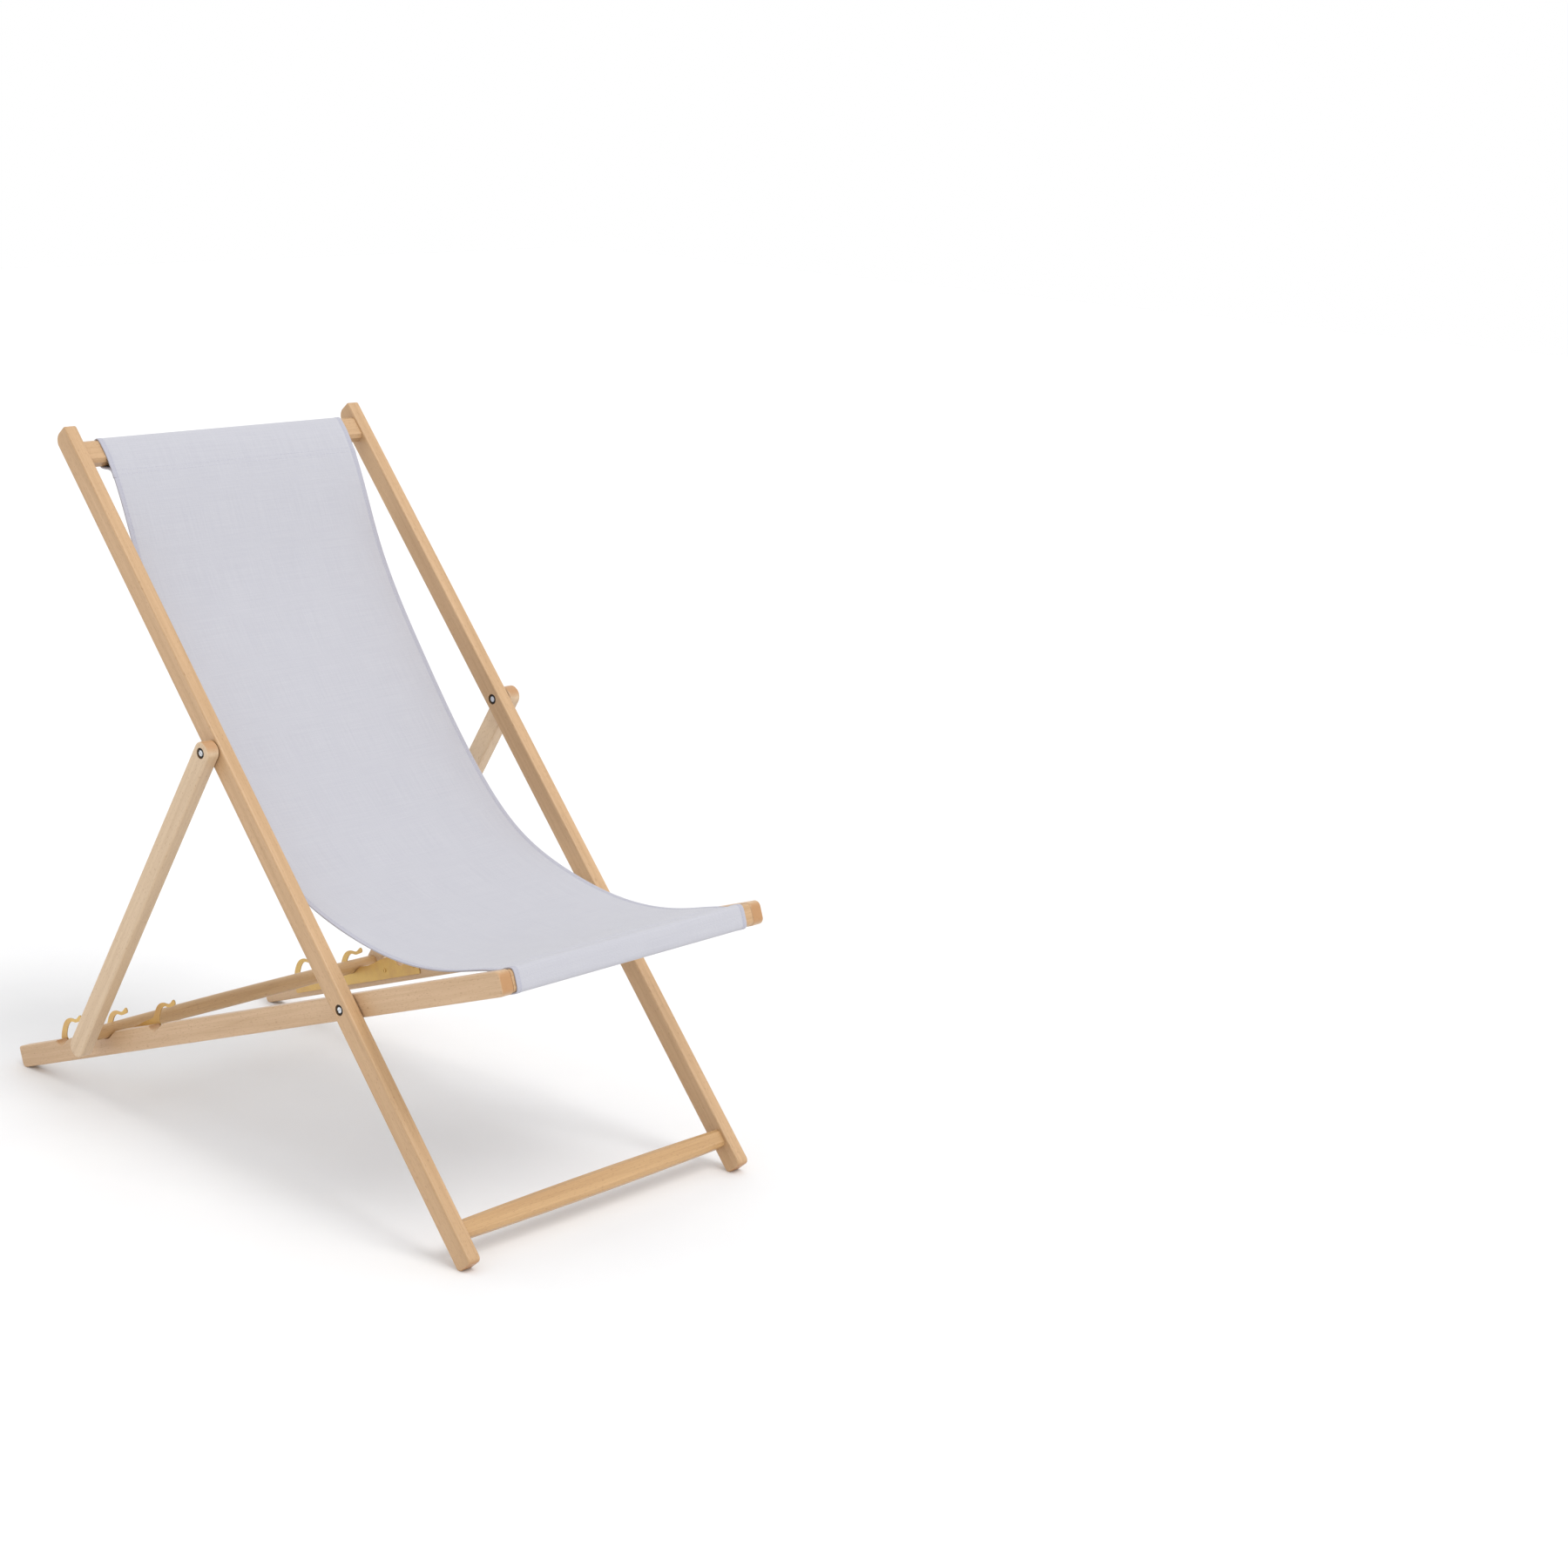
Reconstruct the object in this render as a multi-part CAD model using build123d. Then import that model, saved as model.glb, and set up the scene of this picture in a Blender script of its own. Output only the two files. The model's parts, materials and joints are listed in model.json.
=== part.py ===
from build123d import *
import os
from math import atan, atan2, cos, degrees, hypot, radians, sin

# Folding deck chair in beech: a long back frame, a seat frame that crosses it like scissors,
# and a prop frame whose dowel drops into one of three notches at the rear of the seat frame.
# Millimetres. X is the width, the sitter faces -Y, +Z is up, and Z = 0 is the ground.
# "left" is the sitter's left, which is +X. Each left-hand piece is mirrored for the right.

# ---- driving dimensions -------------------------------------------------------------------
back_frame_width = 522.0        # outside to outside of the back rails
wood_thickness = 20.0           # every rail and strut, across the chair
side_gap = 1.6                  # between neighbouring layers of rails, filled by a washer

back_rail_width = 31.0
back_rail_above_pivot = 915.0
back_rail_below_pivot = 378.0
back_top_rear_radius = 14.0     # the rear corner of the top end is rounded, the front one is crisp
back_top_front_radius = 4.0

seat_rail_width = 33.0
seat_rail_behind_pivot = 820.0
seat_rail_ahead_of_pivot = 305.0
seat_front_radius = 9.0
seat_rear_top_radius = 4.0
ground_radius = 7.0             # corners that stand on the ground
ground_flat_depth = 0.6         # how much of such a corner is worn flat
edge_radius = 2.5               # softened arrises along all rails

strut_width = 30.0
prop_pivot_up_back_rail = 398.0
prop_length = 560.0             # strut pivot to dowel axis
strut_below_dowel = 35.0        # dowel axis to the strut's lower end
strut_end_radius = 14.0

dowel_middle_radius = 12.0      # the dowel swells slightly towards its middle
dowel_end_radius = 10.0
tenon_radius = 6.0
tenon_length = 13.0
tenon_clearance = 0.05

notch_first_from_pivot = 455.0  # middle of the mouth of the notch nearest the main pivot
notch_pitch = 122.0
notch_count = 3
notch_in_use = 1                # counted from 0, so the middle one
notch_mouth = 35.0
notch_depth = 8.5
notch_radius = 12.0
notch_slope_angle = 22.5        # where the front slope runs into the round floor, from straight down
notch_corner_radius = 3.0
dowel_clearance = 0.3           # dowel to the floor of its notch

top_rail_width = 36.0           # along the back rails
top_rail_thickness = 20.0
top_rail_below_end = 23.0       # rail end to the rail's top edge
top_rail_setback = 3.5          # front face behind the back rails' front face
bottom_rail_width = 29.5        # in the middle: it swells like the dowel
bottom_rail_end_width = 25.0
bottom_rail_thickness = 20.0
bottom_rail_below_pivot = 330.0
front_rail_height = 30.0
front_rail_thickness = 21.0
cross_rail_chamfer = 4.5
front_rail_radius = 7.0
front_rail_inset = 1.0          # from the seat rails' front ends

plate_thickness = 1.5
plate_front_margin = 37.0       # from the middle of the first mouth
plate_rear_margin = 35.0        # from the middle of the last mouth
plate_bottom_inset = 8.0        # above the seat rail's lower edge
plate_corner_radius = 3.0
hook_foot = 38.0                # where a hook's rear side meets the blank, from the mouth's middle
screw_behind_mouth = 47.0       # the screws between two notches
screw_from_plate_end = 11.0     # the screw in front of the first notch
screw_rise = 4.8                # above the seat rails' centre line
screw_head_radius = 3.6
screw_head_height = 1.4
screw_rim_radius = 1.0
screw_shank_radius = 1.8
screw_length = 13.0
screw_clearance = 0.02
screw_slot_width = 0.9
screw_slot_depth = 0.6

bolt_head_radius = 5.6
bolt_head_height = 2.0
bolt_rim_radius = 1.2
bolt_slot_width = 1.4
bolt_slot_depth = 0.7
bolt_shank_radius = 3.0
bolt_tip_gap = 1.0              # bolt tip to the bottom of its nut
nut_barrel_radius = 4.2
nut_bottom = 3.0                # solid metal at the closed end of the nut
nut_end_gap = 1.0               # nut barrel to the bolt head
recess_radius = 7.5
recess_depth = 2.6
running_clearance = 0.08
thread_clearance = 0.03
washer_radius = 11.0
washer_side_clearance = 0.1

sling_side_clearance = 4.4      # each edge of the cloth to the seat rail beside it
sling_thickness = 1.4
sleeve_gap = 0.3                # cloth to wood, all round a sleeve
# The hanging cloth: share of the way from the pivot to the cross rail, and height above the
# rails' centre line.
hang_along_back = [(0.80, -31.0), (0.595, -55.0), (0.39, -60.0), (0.23, -38.0)]
hang_along_seat = [(-0.07, 101.0), (0.136, 67.0), (0.358, 41.0), (0.647, 23.5)]

past = 1.0                      # how far a cutter runs past the face that it cuts

# ---- linkage ------------------------------------------------------------------------------
seat_half = seat_rail_width / 2
back_half = back_rail_width / 2
notch_floor = seat_half - notch_depth
mouth_middles = [notch_first_from_pivot + notch_pitch * i for i in range(notch_count)]
dowel_seat_offset = notch_mouth / 2 - notch_radius
dowel_along = mouth_middles[notch_in_use] + dowel_seat_offset

# Layers across the chair, from the outside in.
back_outer = back_frame_width / 2
back_inner = back_outer - wood_thickness
seat_outer = back_inner - side_gap
seat_inner = seat_outer - wood_thickness
sling_width = 2 * (seat_inner - sling_side_clearance)
strut_inner = back_outer + side_gap
strut_outer = strut_inner + wood_thickness

# The dowel rests on the notch floor with the radius that it has over the seat rails.
dowel_taper = dowel_middle_radius - dowel_end_radius
dowel_rest_radius = dowel_middle_radius - dowel_taper * (seat_inner / strut_inner) ** 2
dowel_rise = notch_floor + dowel_clearance + dowel_rest_radius

# Main pivot, prop pivot and dowel form a triangle, which sets the angle between the frames.
pivot_to_dowel = hypot(dowel_along, dowel_rise)
cos_at_pivot = (
    (prop_pivot_up_back_rail**2 + pivot_to_dowel**2 - prop_length**2)
    / (2 * prop_pivot_up_back_rail * pivot_to_dowel)
)
angle_at_pivot = atan2((1 - cos_at_pivot**2) ** 0.5, cos_at_pivot)
frame_angle = angle_at_pivot + atan(dowel_rise / dowel_along)

# The whole linkage is tilted until both lower ends stand on the ground.
foot_reach = back_rail_below_pivot - ground_radius
foot_side = back_half - ground_radius
rear_reach = seat_rail_behind_pivot - ground_radius
rear_side = seat_half - ground_radius
back_angle = atan(
    (rear_reach * sin(frame_angle) + rear_side * cos(frame_angle) - foot_side)
    / (foot_reach + rear_reach * cos(frame_angle) - rear_side * sin(frame_angle))
)
seat_angle = frame_angle - back_angle
pivot_height = (
    foot_reach * sin(back_angle) + foot_side * cos(back_angle) + ground_radius - ground_flat_depth
)

# Y is centred on the whole chair's footprint.
rear_end_y = seat_rail_behind_pivot * cos(seat_angle)
front_end_y = -seat_rail_ahead_of_pivot * cos(seat_angle)
pivot_y = -(rear_end_y + front_end_y) / 2


def side_frame(y, z, angle):
    """A side-view frame: local x along the member, local y across it, normal along +X."""
    return Plane(
        origin=(0, y, z),
        x_dir=(0, cos(angle), sin(angle)),
        z_dir=(1, 0, 0),
    )


back_plane = side_frame(pivot_y, pivot_height, back_angle)
seat_plane = side_frame(pivot_y, pivot_height, -seat_angle)
prop_pivot = back_plane.from_local_coords(Vector(prop_pivot_up_back_rail, 0, 0))
dowel_axis = seat_plane.from_local_coords(Vector(dowel_along, dowel_rise, 0))
prop_angle = atan2(dowel_axis.Z - prop_pivot.Z, dowel_axis.Y - prop_pivot.Y)
prop_plane = side_frame(prop_pivot.Y, prop_pivot.Z, prop_angle)


# ---- helpers ------------------------------------------------------------------------------
def across(plane, outline, low, high):
    """Extrude a side-view outline across the chair, from x = low to x = high."""
    return extrude(plane.offset(low) * outline, amount=high - low)


def rounded_bar(low, high, half, radii):
    """A side-view bar from local x = low to high with four corner radii.

    The radii run low-bottom, high-bottom, high-top, low-top.
    """
    outline = Pos((low + high) / 2, 0) * Rectangle(high - low, 2 * half)
    corners = [(low, -half), (high, -half), (high, half), (low, half)]
    for (x, y), radius in zip(corners, radii):
        corner = outline.vertices().sort_by_distance((x, y, 0))[0]
        outline = fillet(corner, radius)
    return outline


def soften(part, low, high, radius=edge_radius):
    """Round the arrises around both broad faces of a bar lying between x = low and x = high."""
    rims = [
        edge
        for face in part.faces().filter_by(Axis.X)
        if abs(face.center().X - low) < 0.01 or abs(face.center().X - high) < 0.01
        for edge in face.outer_wire().edges()
    ]
    return fillet(rims, radius)


def crosswise(plane, x, y, radius, low, high):
    """A cylinder across the chair at a side-view point of the given frame."""
    return across(plane, Pos(x, y) * Circle(radius), low, high)


def on_ground(part):
    """Cut the part off at ground level, which leaves a small worn flat."""
    reach = back_rail_above_pivot + seat_rail_behind_pivot
    below = Pos(0, 0, -reach / 2) * Box(2 * reach, 2 * reach, reach)
    return part - below


def both_sides(name, part):
    """The left piece and its mirror image."""
    return {name + "_left": part, name + "_right": mirror(part, about=Plane.YZ)}


# ---- pivots -------------------------------------------------------------------------------
pivot_bore_radius = nut_barrel_radius + running_clearance


def pivot_bores(part, plane, x, recess_low, recess_high):
    """Drill a pivot bore and sink a round recess between two X positions."""
    reach = wood_thickness + past
    part -= crosswise(plane, x, 0, pivot_bore_radius, recess_low - reach, recess_high + reach)
    return part - crosswise(plane, x, 0, recess_radius, recess_low, recess_high)


def disc(plane, x, y, radius, rim_radius, low, high, outward):
    """A flat round head with a softened outer rim; outward is 1 towards +X and -1 towards -X."""
    head = crosswise(plane, x, y, radius, low, high)
    rims = head.edges().filter_by(GeomType.CIRCLE).sort_by(Axis.X)
    return fillet(rims[-1] if outward > 0 else rims[0], rim_radius)


def pivot_hardware(plane, outer_face, inner_face, washer_low, washer_high):
    """A recessed connecting bolt, its sleeve nut, and the washer between two layers of wood."""
    head_low = outer_face - recess_depth
    head_high = head_low + bolt_head_height
    nut_high = inner_face + recess_depth
    nut_low = nut_high - bolt_head_height
    slot = across(
        plane,
        Rectangle(bolt_slot_width, 2 * (bolt_head_radius + past)),
        head_high - bolt_slot_depth,
        head_high + past,
    )
    bolt = disc(plane, 0, 0, bolt_head_radius, bolt_rim_radius, head_low, head_high, 1) - slot
    tip = nut_high + nut_bottom + bolt_tip_gap
    bolt += crosswise(plane, 0, 0, bolt_shank_radius, tip, head_low)
    nut = disc(plane, 0, 0, bolt_head_radius, bolt_rim_radius, nut_low, nut_high, -1)
    nut += crosswise(plane, 0, 0, nut_barrel_radius, nut_high, head_low - nut_end_gap)
    thread = bolt_shank_radius + thread_clearance
    nut -= crosswise(plane, 0, 0, thread, nut_high + nut_bottom, head_low)
    washer = crosswise(plane, 0, 0, washer_radius, washer_low, washer_high)
    washer -= crosswise(plane, 0, 0, pivot_bore_radius, washer_low - past, washer_high + past)
    return bolt, nut, washer


# ---- back frame ---------------------------------------------------------------------------
top_rail_along = back_rail_above_pivot - top_rail_below_end - top_rail_width / 2
top_rail_across = back_half - top_rail_setback - top_rail_thickness / 2


def back_rail():
    """One long rail, with the two pivot bores and blind mortises for the cross rails."""
    outline = rounded_bar(
        -back_rail_below_pivot,
        back_rail_above_pivot,
        back_half,
        (ground_radius, back_top_rear_radius, back_top_front_radius, ground_radius),
    )
    rail = soften(across(back_plane, outline, back_inner, back_outer), back_inner, back_outer)
    mortise = tenon_radius + tenon_clearance
    deep = back_inner + tenon_length + tenon_clearance
    rail -= crosswise(back_plane, top_rail_along, top_rail_across, mortise, back_inner, deep)
    rail -= crosswise(back_plane, -bottom_rail_below_pivot, 0, mortise, back_inner, deep)
    rail = pivot_bores(rail, back_plane, 0, back_outer - recess_depth, back_outer + past)
    rail = pivot_bores(
        rail, back_plane, prop_pivot_up_back_rail, back_inner - past, back_inner + recess_depth
    )
    return on_ground(rail)


def chamfered_section(width, thickness):
    """An eight-sided bar section."""
    return chamfer(Rectangle(width, thickness).vertices(), cross_rail_chamfer)


def cross_rail(plane, section, x, y, inner_face):
    """A bar between two rails, with a round tenon at each end."""
    placed = Pos(x, y) * section
    bar = across(plane, placed, -inner_face, inner_face)
    reach = inner_face + tenon_length
    return bar + crosswise(plane, x, y, tenon_radius, -reach, reach)


def swollen_side(reach, middle, end):
    """One long side of a bar that swells towards its middle, as an arc."""
    return ThreePointArc((-reach, end), (0, middle), (reach, end))


def swollen_rail():
    """The bottom rail: wider in the middle than at its ends, chamfered along all four arrises."""
    place = back_plane.from_local_coords(Vector(-bottom_rail_below_pivot, 0, 0))
    face_plane = Plane(origin=place, x_dir=(1, 0, 0), z_dir=back_plane.y_dir * -1)
    side = swollen_side(back_inner, bottom_rail_width / 2, bottom_rail_end_width / 2)
    other = side.mirror(Plane.XZ)
    outline = make_face([side, Line(side @ 1, other @ 1), other, Line(other @ 0, side @ 0)])
    bar = extrude(face_plane * outline, amount=bottom_rail_thickness / 2, both=True)
    arrises = [e for e in bar.edges() if e.bounding_box().size.X > back_inner]
    bar = chamfer(arrises, cross_rail_chamfer)
    reach = back_inner + tenon_length
    return bar + crosswise(back_plane, -bottom_rail_below_pivot, 0, tenon_radius, -reach, reach)


top_section = chamfered_section(top_rail_width, top_rail_thickness)
top_rail = cross_rail(back_plane, top_section, top_rail_along, top_rail_across, back_inner)
bottom_rail = swollen_rail()


# ---- seat frame ---------------------------------------------------------------------------
front_rail_along = -(seat_rail_ahead_of_pivot - front_rail_inset - front_rail_thickness / 2)


def notch_cut(middle):
    """One notch: a sloping front side, a round floor, and a steep rear side."""
    seat = middle + dowel_seat_offset
    front = middle - notch_mouth / 2
    rear = middle + notch_mouth / 2
    floor_middle = notch_floor + notch_radius
    slope_end = (
        seat - notch_radius * sin(radians(notch_slope_angle)),
        floor_middle - notch_radius * cos(radians(notch_slope_angle)),
    )
    throat = make_face(
        Polyline(
            (front, seat_half + notch_depth),
            (front, seat_half),
            slope_end,
            (seat, floor_middle),
            (rear, floor_middle),
            (rear, seat_half + notch_depth),
            close=True,
        )
    )
    return throat + Pos(seat, floor_middle) * Circle(notch_radius)


def notched(outline):
    """Take the notches out of a side-view outline and round their mouths."""
    for middle in mouth_middles:
        outline -= notch_cut(middle)
    for middle in mouth_middles:
        lip = (middle - notch_mouth / 2, seat_half, 0)
        outline = fillet(outline.vertices().sort_by_distance(lip)[0], notch_corner_radius)
    return outline


def screw_places():
    """Side-view positions of the screws that hold a ratchet plate."""
    first = mouth_middles[0] - plate_front_margin + screw_from_plate_end
    between = [middle + screw_behind_mouth for middle in mouth_middles[:-1]]
    return [(x, screw_rise) for x in [first] + between]


def seat_rail():
    """One seat rail, with its notches, pivot bore, mortise and screw holes."""
    outline = rounded_bar(
        -seat_rail_ahead_of_pivot,
        seat_rail_behind_pivot,
        seat_half,
        (seat_front_radius, ground_radius, seat_rear_top_radius, seat_front_radius),
    )
    rail = across(seat_plane, notched(outline), seat_inner, seat_outer)
    rail = soften(rail, seat_inner, seat_outer)
    mortise = tenon_radius + tenon_clearance
    deep = seat_inner + tenon_length + tenon_clearance
    rail -= crosswise(seat_plane, front_rail_along, 0, mortise, seat_inner, deep)
    rail = pivot_bores(rail, seat_plane, 0, seat_inner - past, seat_inner + recess_depth)
    pilot = screw_shank_radius + screw_clearance
    for x, y in screw_places():
        rail -= crosswise(seat_plane, x, y, pilot, seat_inner - past, seat_inner + screw_length)
    return on_ground(rail)


front_section = fillet(
    Rectangle(front_rail_thickness, front_rail_height).vertices(), front_rail_radius
)
front_rail = cross_rail(seat_plane, front_section, front_rail_along, 0, seat_inner)


# ---- ratchet plates -----------------------------------------------------------------------
def hook(middle, last):
    """The hook behind one notch: it leans forward over the dowel and ends in an upturned tip.

    Points are measured from the middle of the notch's mouth and from the rail's top edge. Behind
    every hook but the last, the plate slopes down to the next notch.
    """
    inner = [(17.6, -2), (17.2, 4), (12.5, 12), (5, 19.5), (-4, 22.3), (-13, 20), (-22, 20.6)]
    tip = [(-30.5, 24), (-29, 29.2)]
    outer = [(-22, 27), (-13.5, 24.8), (-5, 27.2), (3, 28), (14, 24.5)]
    last_back = [(23, 16.5), (29, 8), (plate_rear_margin - 1.5, -2)]
    to_next = notch_pitch - notch_mouth / 2
    slope = [(0.46, 6.4), (0.54, 5.2), (0.60, 3.7), (0.67, 1.9), (0.77, 0.6), (0.85, -2)]
    long_back = [(22, 17.5), (28, 11), (hook_foot, 7.6)] + [(to_next * x, y) for x, y in slope]
    relative = inner + tip + outer + (last_back if last else long_back)
    side = Spline(*[(middle + x, seat_half + y) for x, y in relative])
    return make_face([side, Line(side @ 1, side @ 0)])


def ratchet_plate():
    """A stamped steel plate on the inner face of a seat rail, with a hook behind each notch."""
    low = mouth_middles[0] - plate_front_margin
    high = mouth_middles[-1] + plate_rear_margin
    bottom = -seat_half + plate_bottom_inset
    blank = Pos((low + high) / 2, (bottom + seat_half) / 2) * Rectangle(
        high - low, seat_half - bottom
    )
    blank = fillet(blank.vertices(), plate_corner_radius)
    for middle in mouth_middles:
        blank -= notch_cut(middle)
    for middle in mouth_middles:
        blank += hook(middle, middle == mouth_middles[-1])
    inner = seat_inner - plate_thickness
    plate = across(seat_plane, blank, inner, seat_inner)
    hole = screw_shank_radius + screw_clearance
    for x, y in screw_places():
        plate -= crosswise(seat_plane, x, y, hole, inner - past, seat_inner + past)
    return plate


def ratchet_screws():
    """The round-head screws of one plate."""
    face = seat_inner - plate_thickness
    top = face - screw_head_height
    screws = []
    for x, y in screw_places():
        head = disc(seat_plane, x, y, screw_head_radius, screw_rim_radius, top, face, -1)
        slot = Pos(x, y) * Rectangle(screw_slot_width, 2 * (screw_head_radius + past))
        head -= across(seat_plane, slot, top - past, top + screw_slot_depth)
        end = seat_inner + screw_length - past
        screws.append(head + crosswise(seat_plane, x, y, screw_shank_radius, face, end))
    return Compound(children=screws)


# ---- prop frame ---------------------------------------------------------------------------
def strut():
    """One strut of the prop frame, outside the back rail."""
    half = strut_width / 2
    radii = (strut_end_radius,) * 4
    outline = rounded_bar(-half, prop_length + strut_below_dowel, half, radii)
    part = soften(across(prop_plane, outline, strut_inner, strut_outer), strut_inner, strut_outer)
    mortise = tenon_radius + tenon_clearance
    deep = strut_inner + tenon_length + tenon_clearance
    part -= crosswise(prop_plane, prop_length, 0, mortise, strut_inner, deep)
    return pivot_bores(part, prop_plane, 0, strut_outer - recess_depth, strut_outer + past)


def prop_dowel():
    """The round bar that joins the struts and drops into the notches, swelling to its middle."""
    side = swollen_side(strut_inner, dowel_middle_radius, dowel_end_radius)
    start = (-strut_inner, 0)
    end = (strut_inner, 0)
    outline = make_face([side, Line(side @ 1, end), Line(end, start), Line(start, side @ 0)])
    turning = Plane(origin=dowel_axis, x_dir=(1, 0, 0), z_dir=(0, -1, 0))
    bar = revolve(turning * outline, axis=Axis(dowel_axis, (1, 0, 0)))
    reach = strut_inner + tenon_length
    return bar + crosswise(prop_plane, prop_length, 0, tenon_radius, -reach, reach)


# ---- sling --------------------------------------------------------------------------------
def in_side_view(shape):
    """A shape in the chair's middle plane, laid flat for sketching."""
    return Plane.YZ.to_local_coords(shape)


def cloth_sleeve(plane, section, x, y):
    """The cloth tube round a cross rail, as a ring in side view."""
    outer = offset(section, amount=sleeve_gap + sling_thickness, kind=Kind.ARC)
    inner = offset(section, amount=sleeve_gap, kind=Kind.ARC)
    return in_side_view(plane * (Pos(x, y) * (outer - inner)))


def sling():
    """One length of cloth with a sleeve at each end, and how long it hangs between the rails."""
    cloth = sleeve_gap + sling_thickness / 2
    top_leave = (
        top_rail_along - top_rail_width / 2 + cross_rail_chamfer,
        top_rail_across + top_rail_thickness / 2 + cloth,
    )
    front_leave = (
        front_rail_along + front_rail_thickness / 2 - front_rail_radius,
        front_rail_height / 2 + cloth,
    )
    on_back = [top_leave] + [(share * top_rail_along, y) for share, y in hang_along_back]
    on_seat = [(share * front_rail_along, y) for share, y in hang_along_seat] + [front_leave]
    points = [back_plane.from_local_coords(Vector(x, y, 0)) for x, y in on_back]
    points += [seat_plane.from_local_coords(Vector(x, y, 0)) for x, y in on_seat]
    hang = Spline(*points, tangents=(back_plane.x_dir * -1, seat_plane.x_dir * -1))
    profile = trace(in_side_view(hang), line_width=sling_thickness)
    profile += cloth_sleeve(back_plane, top_section, top_rail_along, top_rail_across)
    profile += cloth_sleeve(seat_plane, front_section, front_rail_along, 0)
    cloth_solid = extrude(Plane.YZ.offset(-sling_width / 2) * profile, amount=sling_width)
    return cloth_solid, hang.length


# ---- assembly -----------------------------------------------------------------------------
main_bolt, main_nut, main_washer = pivot_hardware(
    back_plane, back_outer, seat_inner, seat_outer + washer_side_clearance, back_inner
)
prop_bolt, prop_nut, prop_washer = pivot_hardware(
    prop_plane, strut_outer, back_inner, back_outer, strut_inner - washer_side_clearance
)
sling_cloth, hanging_length = sling()

nodes = {
    "top_rail": top_rail,
    "bottom_rail": bottom_rail,
    "front_rail": front_rail,
    "prop_dowel": prop_dowel(),
    "sling": sling_cloth,
}
nodes |= both_sides("back_rail", back_rail())
nodes |= both_sides("seat_rail", seat_rail())
nodes |= both_sides("prop_strut", strut())
nodes |= both_sides("ratchet_plate", ratchet_plate())
nodes |= both_sides("ratchet_screws", ratchet_screws())
nodes |= both_sides("main_pivot_bolt", main_bolt)
nodes |= both_sides("main_pivot_nut", main_nut)
nodes |= both_sides("main_pivot_washer", main_washer)
nodes |= both_sides("prop_pivot_bolt", prop_bolt)
nodes |= both_sides("prop_pivot_nut", prop_nut)
nodes |= both_sides("prop_pivot_washer", prop_washer)

os.makedirs("parts", exist_ok=True)
for name, part in nodes.items():
    export_step(part, f"parts/{name}.step")

print("back angle", degrees(back_angle), "seat angle", degrees(seat_angle))
print("prop angle", degrees(prop_angle), "frame angle", degrees(frame_angle))
print("main pivot", pivot_y, pivot_height)
print("prop pivot", prop_pivot.Y, prop_pivot.Z)
print("dowel", dowel_axis.Y, dowel_axis.Z)
print("hanging length of the sling", hanging_length)
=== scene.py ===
import json
import math

import bpy
import numpy as np
from mathutils import Matrix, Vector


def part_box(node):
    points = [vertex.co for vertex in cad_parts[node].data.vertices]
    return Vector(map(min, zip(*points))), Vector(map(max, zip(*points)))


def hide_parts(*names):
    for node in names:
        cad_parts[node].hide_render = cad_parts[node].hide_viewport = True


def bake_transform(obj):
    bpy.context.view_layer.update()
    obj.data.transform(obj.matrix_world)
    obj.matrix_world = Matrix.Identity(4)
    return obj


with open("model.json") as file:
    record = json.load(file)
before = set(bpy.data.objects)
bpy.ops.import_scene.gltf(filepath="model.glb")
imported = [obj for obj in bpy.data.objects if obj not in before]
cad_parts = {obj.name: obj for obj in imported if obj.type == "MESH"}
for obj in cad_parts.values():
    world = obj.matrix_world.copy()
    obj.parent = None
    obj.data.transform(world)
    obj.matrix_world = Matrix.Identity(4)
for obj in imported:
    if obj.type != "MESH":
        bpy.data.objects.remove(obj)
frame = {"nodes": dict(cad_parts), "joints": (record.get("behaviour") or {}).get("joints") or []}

bl_info = {
    "name": "Folding deck chair",
    "version": (1, 0, 0),
    "blender": (4, 5, 0),
    "location": "View3D > Sidebar > Deck chair",
    "description": "Cloth sling, stitching, beech and metal finishes for a folding deck chair",
    "category": "Object",
}

MM = 0.001
FLOOR_HALF = 12.0               # metres from the chair to each edge of the floor
HEM_FOLD_IN_FRONT = 0.25        # share of a hem's extra thickness that stands out on the front
HEM_ROW_INSET = 1.5 * MM        # from a hem's inner edge to its row of stitches
ROW_END = 4 * MM                # from the end of a row of stitches to the edge or row ahead of it
SUNK = 0.1 * MM                 # how deep the hem stitches lie in the cloth


# ---- places read from the frame -------------------------------------------------------------
def side_centre(node):
    """The middle of a frame piece in side view: (y, z)."""
    low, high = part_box(node)
    return np.array((low + high) / 2)[1:]


def toward(start, end):
    """The unit direction from one side-view point to another."""
    return (end - start) / np.linalg.norm(end - start)


def left_of(direction):
    """A side-view direction turned a quarter turn from +Y towards +Z."""
    return np.stack((-direction[..., 1], direction[..., 0]), axis=-1)


def placed(origin, along, local):
    """Side-view points from (along, across) pairs measured beside a rail."""
    local = np.asarray(local, float)
    return origin + local[:, :1] * along + local[:, 1:] * left_of(along)


PIVOTS = {joint["name"]: np.array(joint["pos_m"][1:]) for joint in frame["joints"]}
MAIN_PIVOT = PIVOTS["seat_fold"]
PROP_PIVOT = PIVOTS["prop_swing"]
TOP_RAIL = side_centre("top_rail")
FRONT_RAIL = side_centre("front_rail")
BACK_UP = toward(MAIN_PIVOT, PROP_PIVOT)
SEAT_REARWARD = toward(FRONT_RAIL, MAIN_PIVOT)
STRUT_UP = toward(side_centre("prop_dowel"), PROP_PIVOT)
# Where the two rails lie, measured from the main pivot: the front rail's place is negative.
TOP_RAIL_UP_BACK = float((TOP_RAIL - MAIN_PIVOT) @ BACK_UP)
FRONT_RAIL_ALONG_SEAT = float((FRONT_RAIL - MAIN_PIVOT) @ SEAT_REARWARD)
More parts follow.
